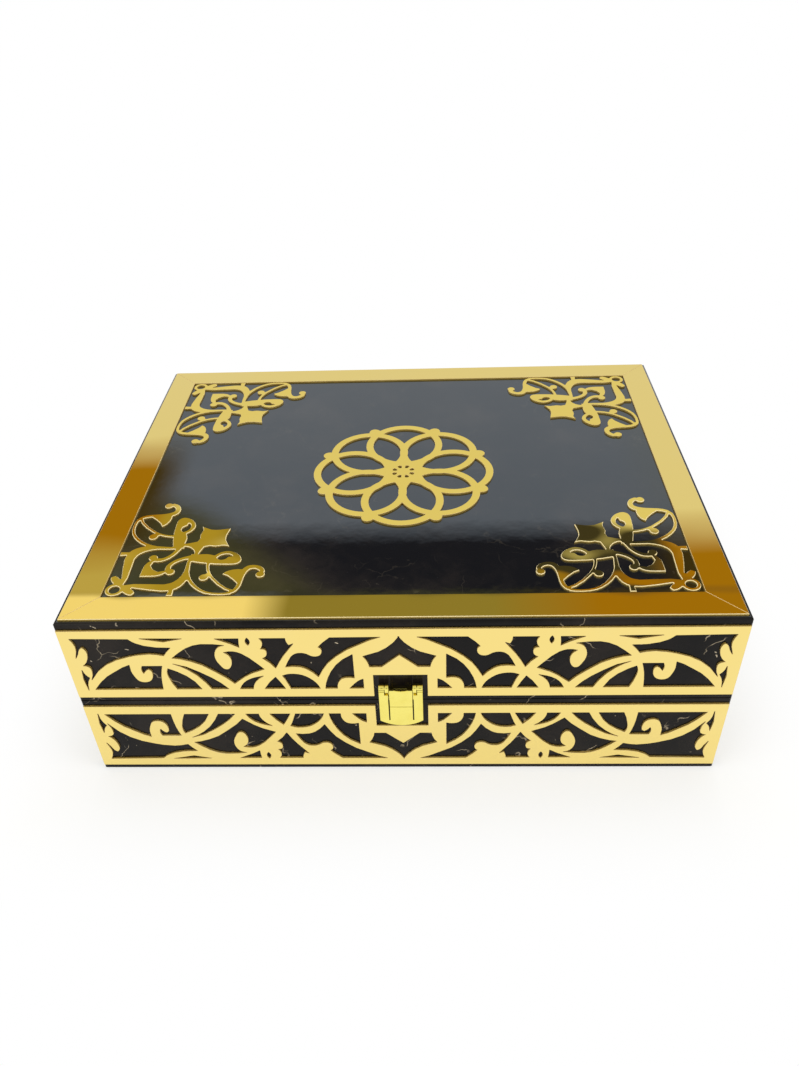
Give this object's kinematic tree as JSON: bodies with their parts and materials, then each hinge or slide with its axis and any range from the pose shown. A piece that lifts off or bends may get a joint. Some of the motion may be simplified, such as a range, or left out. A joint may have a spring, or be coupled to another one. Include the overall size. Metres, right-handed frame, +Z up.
{
  "type": "quran box",
  "caption": "Black marbled book box with a hinged lid, gold fretwork on front and sides, gold frame, scrolled corners and rosette on top, and a swing latch",
  "frame": {"origin": "middle of the underside, where the box stands on the table", "axes": "+X along the width to the viewer's right, +Y to the back with the hinges, +Z up"},
  "size_m": [0.308, 0.2497, 0.1006],
  "materials": {
    "film_board": "fibreboard wrapped in glossy black marble-look film with thin cream veins",
    "floor_board": "thin fibreboard, black paper outside",
    "gold_sheet": "laser-cut gold mirror acrylic sheet",
    "brass": "bright brass-plated pressed metal",
    "velvet": "short-pile velvet glued on card"
  },
  "bodies": {
    "base": {"base_front": "film_board", "base_back": "film_board", "base_left": "film_board", "base_right": "film_board", "base_floor": "floor_board", "fret_front_base": "gold_sheet", "fret_left_base": "gold_sheet", "fret_right_base": "gold_sheet", "hinge_left_base_leaf": "brass", "hinge_left_pin": "brass", "hinge_right_base_leaf": "brass", "hinge_right_pin": "brass", "hinge_screws_base": "brass", "latch_strike": "brass", "latch_screws_base": "brass", "base_lining_floor": "velvet", "base_lining_front": "velvet", "base_lining_back": "velvet", "base_lining_left": "velvet", "base_lining_right": "velvet"},
    "lid": {"lid_front": "film_board", "lid_back": "film_board", "lid_left": "film_board", "lid_right": "film_board", "lid_top": "film_board", "frame_front": "gold_sheet", "frame_back": "gold_sheet", "frame_left": "gold_sheet", "frame_right": "gold_sheet", "corner_front_left": "gold_sheet", "corner_front_right": "gold_sheet", "corner_back_left": "gold_sheet", "corner_back_right": "gold_sheet", "medallion": "gold_sheet", "fret_front_lid": "gold_sheet", "fret_left_lid": "gold_sheet", "fret_right_lid": "gold_sheet", "hinge_left_lid_leaf": "brass", "hinge_right_lid_leaf": "brass", "hinge_screws_lid": "brass", "latch_bracket": "brass", "latch_pin_left": "brass", "latch_pin_right": "brass", "latch_screws_lid": "brass", "lid_lining_top": "velvet", "lid_lining_front": "velvet", "lid_lining_back": "velvet", "lid_lining_left": "velvet", "lid_lining_right": "velvet"},
    "latch_flap": {"latch_flap": "brass"}
  },
  "joints": [
    {"name": "lid_hinge", "type": "hinge", "parent": "base", "child": "lid", "pos_m": [0, 0.1226, 0.0499], "axis": [-1, 0, 0], "range_deg": [0, 150]},
    {"name": "latch_hinge", "type": "hinge", "parent": "lid", "child": "latch_flap", "pos_m": [0, -0.1226, 0.0602], "axis": [-1, 0, 0], "range_deg": [0, 120]}
  ]
}
